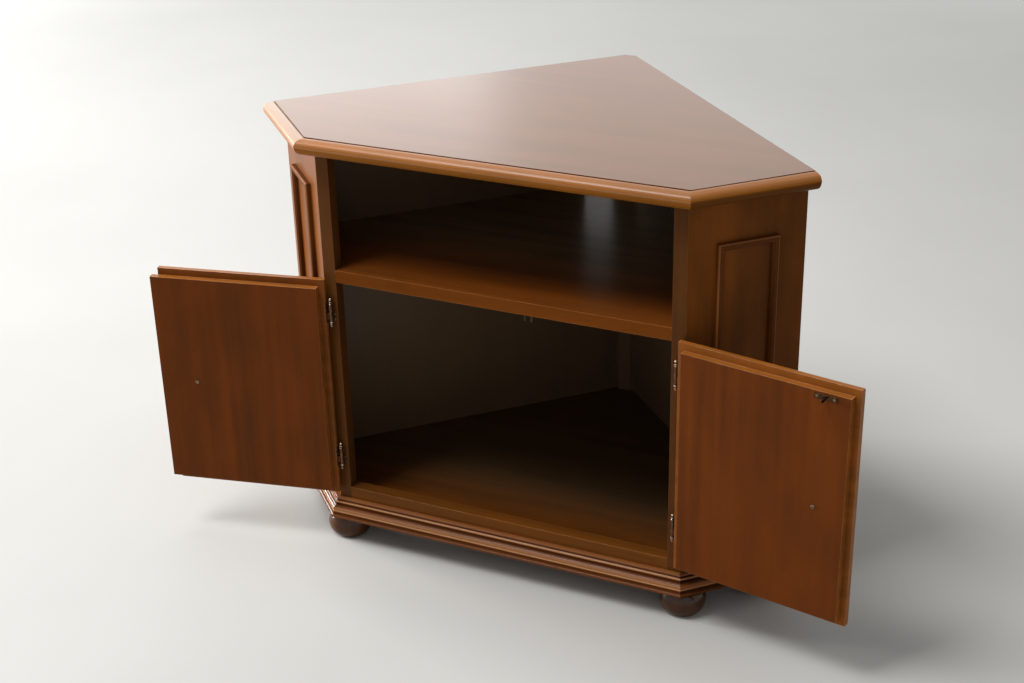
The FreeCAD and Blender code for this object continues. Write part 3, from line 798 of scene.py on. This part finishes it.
def stickProfile(width, proud):
    # outer round, flat crown, a small drop at the quirk and a swelling slope to the inner edge
    v = stick
    quirkFoot = (v["quirkAt"], proud - v["quirkDrop"])
    strokes = [
        ((0.0, 0.0), 0.0),
        ((0.0, proud - v["round"]), 0.0),
        ((v["round"], proud), v["roundSwell"] * v["round"]),
        ((v["quirkAt"], proud), 0.0),
        (quirkFoot, 0.0),
        ((width, v["innerHeight"]), v["innerSwell"]),
        ((width, 0.0), 0.0),
    ]
    profile = outline(strokes)
    quirk = np.zeros(len(profile))
    # painted shade: darker at the foot of the quirk
    quirk[np.argmin(np.abs(profile - quirkFoot).sum(axis=1))] = v["quirkTint"]
    quirk[2:9] = v["roundTint"]  # painted highlight: paler along the outer round
    return profile, quirk


def stickFrame(name, flat, toWorld, body, replaced):
    # flat box of the frame in its own plane: (along, up, out); sticks run round it, mitred at 45 degrees
    low, high = flat
    proud = (high[2] - low[2]) / millimetre
    profile, quirk = stickProfile(stick["width"], proud)
    corners = np.where(quarters > 0.0, low[:2], high[:2])
    parts = []
    for turn in range(4):
        pair = [turn, (turn + 1) % 4]
        stations = np.column_stack([corners[pair], np.full(2, low[2])])
        sweepIn = np.column_stack([quarters[pair], np.zeros(2)])
        part = carried(profile * millimetre, stations, (sweepIn, [up, up]), 0.9 * turn, quirk)
        part["points"] = toWorld(part["points"])
        parts.append(part)
    makePiece(name, parts, body, stickWood, [replaced], bevel=stick["bevel"])


sideAxes = np.array([sideDir, up, sideOut])


def sideToWorld(sign):
    # side plane (along, up, out) to the frame, mirrored for the left side
    return lambda points: (arris + points @ sideAxes) * (sign, 1.0, 1.0)


def sideFlat(name, sign):
    flat = (nodePoints(name) * (sign, 1.0, 1.0) - arris) @ sideAxes.T
    return flat.min(axis=0), flat.max(axis=0)


def turnAbout(points, pivot, angle):
    # turn about the upright line through the pivot
    c, s = math.cos(angle), math.sin(angle)
    rotation = np.array([[c, -s, 0.0], [s, c, 0.0], [0.0, 0.0, 1.0]])
    return (points - pivot) @ rotation.T + pivot


def hingePivot(side):
    return np.array([*jointOf["door_" + side]["pos_m"][:2], 0.0])


def shutPoints(name, side):
    return turnAbout(nodePoints(name), hingePivot(side), -doorTurn(side))


def opened(points, side):
    return turnAbout(points, hingePivot(side), doorTurn(side))


def doorToWorld(side):
    # shut door's front plane (along, up, out towards -Y), then swung to where the door stands
    return lambda points: opened(np.column_stack([points[:, 0], -points[:, 2], points[:, 1]]), side)


def doorFlat(name, side):
    points = shutPoints(name, side)
    flat = np.column_stack([points[:, 0], points[:, 2], -points[:, 1]])
    return flat.min(axis=0), flat.max(axis=0)


for side, sign in doorSign.items():
    stickFrame("sideFrame." + side, sideFlat("side_moulding_" + side, sign), sideToWorld(sign), "case",
               "side_moulding_" + side)
    stickFrame("doorFrame." + side, doorFlat(f"door_{side}_moulding", side), doorToWorld(side),
               "door_" + side, f"door_{side}_moulding")
print("raised frames made")


foot = {
    "widestAt": 21.0,
    "bulge": 30.0,
    "collar": 27.0,
    "padRound": 1.1,
    # (radius past the collar's, height above the bun)
    "neck": [(-1.2, 0.3), (-1.2, 1.5)],
    "ring": [(-0.6, 1.7), (0.0, 3.0)],
    "ringTop": 0.5,
}


def smoothProfile(points, steps=6):
    # Catmull-Rom curve through (radius, height) points, whole array at once
    p = np.array(points, float)
    ends = np.concatenate([[2 * p[0] - p[1]], p, [2 * p[-1] - p[-2]]])
    t = np.linspace(0.0, 1.0, steps, endpoint=False)[None, :, None]
    a, b, c, d = (ends[i:len(p) - 1 + i][:, None, :] for i in range(4))
    square = 2 * a - 5 * b + 4 * c - d
    cube = 3 * b - a - 3 * c + d
    curve = 0.5 * (2 * b + (c - a) * t + square * t ** 2 + cube * t ** 3)
    curve = np.concatenate([curve.reshape(-1, 2), p[-1:]])
    curve[:, 0] = np.maximum(curve[:, 0], 0.0)
    return curve


def footCentres():
    # each foot's axis is the middle of its solid, found by splitting the node's points in plan
    plan = nodePoints("feet")[:, :2]
    rough = np.array([(-arrisX, faceY), (arrisX, faceY), (sideHigh.x, sideHigh.y), (-sideHigh.x, sideHigh.y),
                      (0.0, topHigh.y)])
    nearest = np.argmin(np.linalg.norm(plan[:, None] - rough[None], axis=2), axis=1)
    solids = [plan[nearest == number] for number in range(len(rough))]
    return [middleOf(solid) for solid in solids]


def footProfile(centre):
    # bun on an ellipse, (R cos a, h + b sin a), up to a groove and a low collar under the frame
    points = nodePoints("feet")
    away = np.linalg.norm(points[:, :2] - centre, axis=1)
    near = away < 2.0 * foot["bulge"] * millimetre
    radius = away[near].max() / millimetre
    tall = points[:, 2].max() / millimetre
    v = foot
    angle = np.linspace(-math.asin(v["widestAt"] / v["bulge"]), math.acos(v["collar"] / radius), 26)
    bun = np.column_stack([radius * np.cos(angle), v["widestAt"] + v["bulge"] * np.sin(angle)])
    bun[0] = bun[0] + (0.4 * v["padRound"], 0.5 * v["padRound"])
    pad = bun[0] - (v["padRound"], 0.5 * v["padRound"])
    corner = np.array([v["collar"], bun[-1][1]])
    neck = corner + v["neck"]
    ring = smoothProfile([*(corner + v["ring"]), (v["collar"] - v["ringTop"], tall)])
    ends = [[(0.0, 0.0), pad], bun, neck, ring, [(0.0, tall)]]
    return np.concatenate([np.array(part, float) for part in ends]) * millimetre


footParts = [turnedPart(footProfile(centre), (*centre, 0.0), 72) for centre in footCentres()]
makePiece("bunFeet", footParts, "case", footWood, ["feet"], sharp=50.0)

knob = {
    "base": 9.4,
    # (radius, height) from the base over the waist to the rim
    "turned": [(9.4, 1.0), (8.5, 2.2), (6.2, 4.0), (5.6, 8.0), (6.8, 12.4), (11.4, 15.0), (13.0, 17.6),
               (11.8, 20.6), (8.0, 22.8)],
    "crown": (3.0, 0.1),
}


def knobProfile(length):
    # flat base, a smooth curve over waist and rim, and a low crown
    crown = (knob["crown"][0], length - knob["crown"][1])
    turned = smoothProfile(knob["turned"] + [crown])
    return np.concatenate([[(0.0, 0.0), (knob["base"], 0.0)], turned, [(0.0, length)]]) * millimetre


for side in doorSign:
    low, high = doorFlat(f"door_{side}_knob", side)
    seat = (0.5 * (low[0] + high[0]), -low[2], 0.5 * (low[1] + high[1]))
    part = turnedPart(knobProfile((high[2] - low[2]) / millimetre), seat, 64, (0.0, -1.0, 0.0))
    part["points"] = opened(part["points"], side)
    makePiece("knob." + side, [part], "door_" + side, knobBrass, [f"door_{side}_knob"])

finial = {
    "pin": 1.5,
    "knuckle": 14.0,
    # (radius, height past the knuckle): a ball, a ring and a drop below, two rings and a ball above
    "lower": [(0.0, 10.4), (1.2, 9.9), (1.7, 8.6), (1.35, 7.2), (1.5, 6.8), (2.6, 6.2), (2.7, 5.3),
              (1.7, 4.6), (2.3, 4.0), (3.1, 2.5), (2.8, 1.0), (2.2, 0.3)],
    "upper": [(2.3, 0.0), (2.4, 0.4), (3.1, 0.9), (3.1, 1.9), (1.6, 2.6), (1.6, 3.2), (3.0, 3.9), (3.0, 4.8),
              (1.4, 5.6), (1.4, 6.3), (2.2, 7.4), (2.3, 8.6), (1.7, 9.9), (0.8, 10.7), (0.0, 10.9)],
    "lowerHollows": [0.4, 4.6, 7.1],
    "upperHollows": [0.2, 2.9, 6.0],
    "hollowWidth": 0.8,
}


def finialPin():
    # turned profile from the lower finial through the pin to the upper one, and the darkening of its
    # hollows: tarnish and painted shade
    v = finial
    k = v["knuckle"]
    lower = np.array(v["lower"]) * (1.0, -1.0) - (0.0, k)
    upper = np.array(v["upper"]) + (0.0, k)
    pin = np.array([(v["pin"], -k - 0.25), (v["pin"], k - 0.05)])
    profile = np.concatenate([smoothProfile(lower, 4), pin, smoothProfile(upper, 4)])
    hollows = np.concatenate([k + np.array(v["upperHollows"]), -k - np.array(v["lowerHollows"])])
    tarnish = np.exp(-((profile[:, 1:] - hollows) / v["hollowWidth"]) ** 2).max(axis=1)
    return profile * millimetre, tarnish


hair = 0.00002


def leafFace(side):
    # corner points of the leaves that lie flush in the stile's face
    points = nodePoints("hinge_case_leaves_" + side)
    return points[np.abs(points[:, 1] - faceY) < hair]


# the four ends of the two leaves, lowest first
face = leafFace("right")
levels = np.unique(np.round(face[face[:, 0] < face[:, 0].min() + hair, 2], 5))
hingeHeights = [levels[2:].mean(), levels[:2].mean()]
profile, tarnish = finialPin()
for side in doorSign:
    pivot = hingePivot(side)
    parts = [turnedPart(profile, (*pivot[:2], z), 32, quirk=tarnish) for z in hingeHeights]
    makePiece("hingeFinials." + side, parts, "case", antiqueBrass, ["hinge_pins_" + side],
              sharp=50.0)
print("feet, knobs and finials made")


screw = {
    "slotWidth": 0.16,
    "slotDepth": 0.45,
    "grid": 13,
    # radius and height of each kind's head
    "leaf": (0.0022, 0.0008),
    "knob": (0.0032, 0.0018),
    "strike": (0.0021, 0.0009),
    "catch": (0.0024, 0.0009),
    # places of the heads from the middle of a hinge or plate, or in from a plate's edges
    "doorRises": (0.0058, 0.0138),
    "caseRises": (-0.0045, -0.0135),
    "strikeShifts": (-0.0125, 0.0125),
    "catchInset": (0.0045, 0.010),
}


def screwPart(kind, centre, normal, turn):
    # square grid (u, v) pressed into a disc, domed, with a slot sunk along its middle
    radius, height = screw[kind]
    centre = np.array(centre, float)
    normal = np.array(normal, float)
    across, other = crossAxes(normal, up)
    c, s = math.cos(turn), math.sin(turn)
    across, other = c * across + s * other, c * other - s * across
    u = np.linspace(-1.0, 1.0, screw["grid"])
    slot = screw["slotWidth"]
    beside = np.linspace(slot, 1.0, 6)
    v = np.concatenate([-beside[::-1], [-slot * 0.98, 0.0, slot * 0.98], beside])
    u, v = np.meshgrid(u, v)
    x = u * np.sqrt(1.0 - 0.5 * v * v)
    y = v * np.sqrt(1.0 - 0.5 * u * u)
    dome = height * (0.45 + 0.55 * np.sqrt(np.clip(1.0 - 0.9 * (x * x + y * y), 0.0, 1.0)))
    top = dome - np.where(np.abs(v) < slot * 0.99, screw["slotDepth"] * height, 0.0)
    rows, columns = u.shape
    surface = centre + radius * (x[..., None] * across + y[..., None] * other) + top[..., None] * normal
    index = np.arange(rows * columns).reshape(rows, columns)
    rim = np.concatenate([index[0, :-1], index[:-1, -1], index[-1, :0:-1], index[:0:-1, 0]])
    flat = surface.reshape(-1, 3)
    skirt = flat[rim] - ((flat[rim] - centre) @ normal)[:, None] * normal
    points = np.concatenate([flat, skirt])
    lower = np.arange(len(rim)) + len(flat)
    wall = np.stack([rim, np.roll(rim, -1), np.roll(lower, -1), lower], axis=-1)
    return asPart(points, [gridFaces(rows, columns, False), wall, [lower[::-1]]], np.zeros(len(points)))


def leafScrews(place, normal, rises, turn, turnRate):
    # screws at the given rises on the leaves of both hinges, each turned a little otherwise
    return [screwPart("leaf", (*place, z + rise), normal, turn + number + turnRate * rise)
            for number, z in enumerate(hingeHeights) for rise in screw[rises]]


def doorScrews(side):
    # two screws through each door leaf into the lip's edge, and the knob's screw on the inner face
    panel = shutPoints(f"door_{side}_panel", side)
    leaf = shutPoints("hinge_door_leaves_" + side, side)
    sign = doorSign[side]
    edge = np.max(sign * panel[:, 0]) * sign
    onLeaf = leaf[np.abs(leaf[:, 0] - edge) < 10.0 * hair]
    middle = middleOf(onLeaf[:, 1])
    inward = (0.0, 1.0, 0.0)
    parts = leafScrews((edge, middle), (sign, 0.0, 0.0), "doorRises", 0.7, 60.0)
    low, high = doorFlat(f"door_{side}_knob", side)
    knobAt = 0.5 * (low + high)
    parts.append(screwPart("knob", (knobAt[0], panel[:, 1].max(), knobAt[1]), inward, 0.5))
    if side == "right":
        plate = shutPoints("strike_plate", side)
        plateY = np.unique(np.round(plate[:, 1], 5))[1]
        plateX, _, plateZ = middleOf(plate)
        for number, shift in enumerate(screw["strikeShifts"]):
            parts.append(screwPart("strike", (plateX + shift, plateY, plateZ), inward, 1.1 + number))
    for part in parts:
        part["points"] = opened(part["points"], side)
    return parts


def caseScrews():
    # two screws through each leaf on the stiles, and two up through the catch plate
    parts = []
    for side in doorSign:
        face = leafFace(side)
        middle = middleOf(face[:, 0])
        parts += leafScrews((middle, faceY), (0.0, -1.0, 0.0), "caseRises", 0.4, 90.0)
    low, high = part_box("catch_plate")
    under = np.unique(np.round(nodePoints("catch_plate")[:, 2], 5))[-2]
    inset, setBack = screw["catchInset"]
    for x in (low.x + inset, high.x - inset):
        parts.append(screwPart("catch", (x, low.y + setBack, under), (0.02, 0.0, -1.0), x * 40))
    return parts


for side in doorSign:
    makePiece("doorScrews." + side, doorScrews(side), "door_" + side, screwSteel, sharp=30.0)
makePiece("caseScrews", caseScrews(), "case", screwSteel, sharp=30.0)
print("screws made")


def both(stem):
    return [stem + "_left", stem + "_right"]


# finish, width of the rounded arris in metres, nodes
boards = [
    (topVeneer, 0.0003, ["top_panel"]),
    (stileWood, 0.0003, both("stile")),
    (sideVeneer, 0.0003, both("side_panel")),
    (shelfWood, 0.0009, ["shelf"]),
    (railWood, 0.0008, ["bottom_rail"]),
    (floorVeneer, 0.0004, ["floor_board"]),
    (innerVeneer, 0.0004, ["apex_post"] + both("back_panel")),
    (baseWood, 0.0008, ["base_front_rail", "base_apex_block"]),
    (baseWood, 0.0008, both("base_side_rail") + both("base_back_rail")),
    (doorVeneer["left"], 0.0008, ["door_left_panel"]),
    (doorVeneer["right"], 0.0008, ["door_right_panel"]),
    (leafBrass, 0.0003, both("hinge_case_leaves") + both("hinge_door_leaves")),
    (plateSteel, 0.0003, ["catch_plate", "strike_plate"]),
    (darkNylon, 0.0003, both("catch_arm")),
]
dressing = {"weld": 0.00001, "angle": 32.0}


def dress(name, material, width):
    piece = nodes[name]
    piece.data.materials.clear()
    piece.data.materials.append(material)
    piece.modifiers.new("weld", "WELD").merge_threshold = dressing["weld"]
    roundArris(piece, width, dressing["angle"])
    piece.modifiers.new("shading", "WEIGHTED_NORMAL").keep_sharp = False


for material, width, names in boards:
    for name in names:
        dress(name, material, width)
dressed = [name for _, _, names in boards for name in names]
leftOver = [name for name, piece in nodes.items() if name not in dressed and not piece.hide_render]
print("boards dressed, left over:", leftOver)


stage = {
    "floor": srgb(198, 197, 193), "floorLight": srgb(203, 202, 198), "floorRough": 0.7, "floorSize": 14.0,
    "floorDrop": 0.0002, "cloud": 1.3, "sky": (0.95, 0.96, 0.96, 1.0), "skyDiffuse": 0.32, "farGlow": 0.6,
    "farFrom": 4.0, "farTo": 36.0,
}


def seenRay(w):
    # 1 for what the camera sees, straight, in a gloss or through glass; 0 for light on other things
    path = w.add("ShaderNodeLightPath")
    ray = w.maths("MAXIMUM", path.outputs["Is Camera Ray"], path.outputs["Is Glossy Ray"])
    return w.maths("MAXIMUM", ray, path.outputs["Is Transmission Ray"])


def makeFloor():
    v = stage
    mesh = bpy.data.meshes.new("floor")
    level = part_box("feet")[0].z - v["floorDrop"]
    points = np.column_stack([quarters * v["floorSize"], np.full(4, level)])
    mesh.from_pydata(points.tolist(), [], [[0, 1, 2, 3]])
    floor = addObject("floor", mesh)
    material, w, shader = newMaterial("paleFloor")
    place = w.add("ShaderNodeTexCoord").outputs["Object"]
    cloud = w.span(w.noise(place, (v["cloud"],) * 3, 3.0), 0.3, 0.7)
    # far from the cabinet the floor glows faintly, so that it stays as pale as the sky: by distance squared
    glow = w.span(w.dot(place, place), v["farFrom"], v["farTo"], 0.0, v["farGlow"])
    w.feedAll(shader, {
        "Base Color": w.mix(cloud, v["floor"], v["floorLight"]),
        "Roughness": v["floorRough"],
        "Emission Color": v["sky"],
        "Emission Strength": w.times(glow, seenRay(w)),
    })
    mesh.materials.append(material)


def makeSky():
    world = bpy.data.worlds.new("studio")
    scene.world = world
    w = emptyTree(world)
    seen, lighting = w.add("ShaderNodeBackground"), w.add("ShaderNodeBackground")
    w.feedAll(seen, {"Color": stage["sky"]})
    w.feedAll(lighting, {"Color": stage["sky"], "Strength": stage["skyDiffuse"]})
    either = w.add("ShaderNodeMixShader")
    w.fill(either, seenRay(w), lighting.outputs[0], seen.outputs[0])
    w.fill(w.add("ShaderNodeOutputWorld"), either.outputs[0])


lamps = {
    # place, aim, size, power
    "windowBehind": ((-2.45, 2.4, 1.36), (-0.1, 0.0, 0.65), (2.2, 1.2), 31.0),
    "wallBehind": ((-1.1, 3.4, 1.45), (0.0, 0.0, 0.65), (1.5, 1.2), 7.5),
    "overhead": ((-1.15, 0.0, 3.1), (-0.2, -0.1, 0.7), (1.3, 1.0), 18.0),
    "keyFront": ((-1.5, -1.85, 4.7), (0.0, -0.15, 0.4), (1.6, 1.6), 128.0),
    "keyLeft": ((-6.5, 0.0, 1.4), (0.0, 0.0, 0.4), (3.0, 1.8), 700.0),
}
glossOnly = ("windowBehind", "wallBehind")


def makeLamps():
    for name, (place, aim, size, power) in lamps.items():
        lamp = bpy.data.lights.new(name, "AREA")
        lamp.shape = "RECTANGLE"
        lamp.size, lamp.size_y = size
        lamp.energy = power
        holder = addObject(name, lamp)
        holder.location = place
        holder.rotation_euler = (Vector(aim) - Vector(place)).to_track_quat("-Z", "Y").to_euler()
        holder.visible_camera = False
        holder.visible_diffuse = name not in glossOnly


camera = {
    "focal": 1702.7445, "frameWidth": 1024.0, "yaw": -0.440432, "pitch": -0.453676, "roll": -0.024802,
    "right": 0.99494, "beforeFace": 2.06083, "aboveTop": 0.82695,
}


def makeCamera():
    v = camera
    lens = bpy.data.cameras.new("camera")
    lens.sensor_fit = "HORIZONTAL"
    lens.sensor_width = 36.0
    lens.lens = v["focal"] / v["frameWidth"] * lens.sensor_width
    holder = addObject("camera", lens)
    right = Vector((math.cos(v["yaw"]), -math.sin(v["yaw"]), 0.0))
    level = Vector((-right.y, right.x, 0.0))
    forward = level * math.cos(v["pitch"]) + Vector(up) * math.sin(v["pitch"])
    above = right.cross(forward)
    c, s = math.cos(v["roll"]), math.sin(v["roll"])
    right, above = c * right + s * above, c * above - s * right
    turn = Matrix((right, above, -forward)).transposed().to_4x4()
    place = Vector((v["right"], faceY - v["beforeFace"], topHigh.z + v["aboveTop"]))
    holder.matrix_world = Matrix.Translation(place) @ turn
    scene.camera = holder


makeFloor()
makeSky()
makeLamps()
makeCamera()
scene.view_settings.view_transform = "Standard"
print("floor, light and camera set")

bpy.context.view_layer.update()
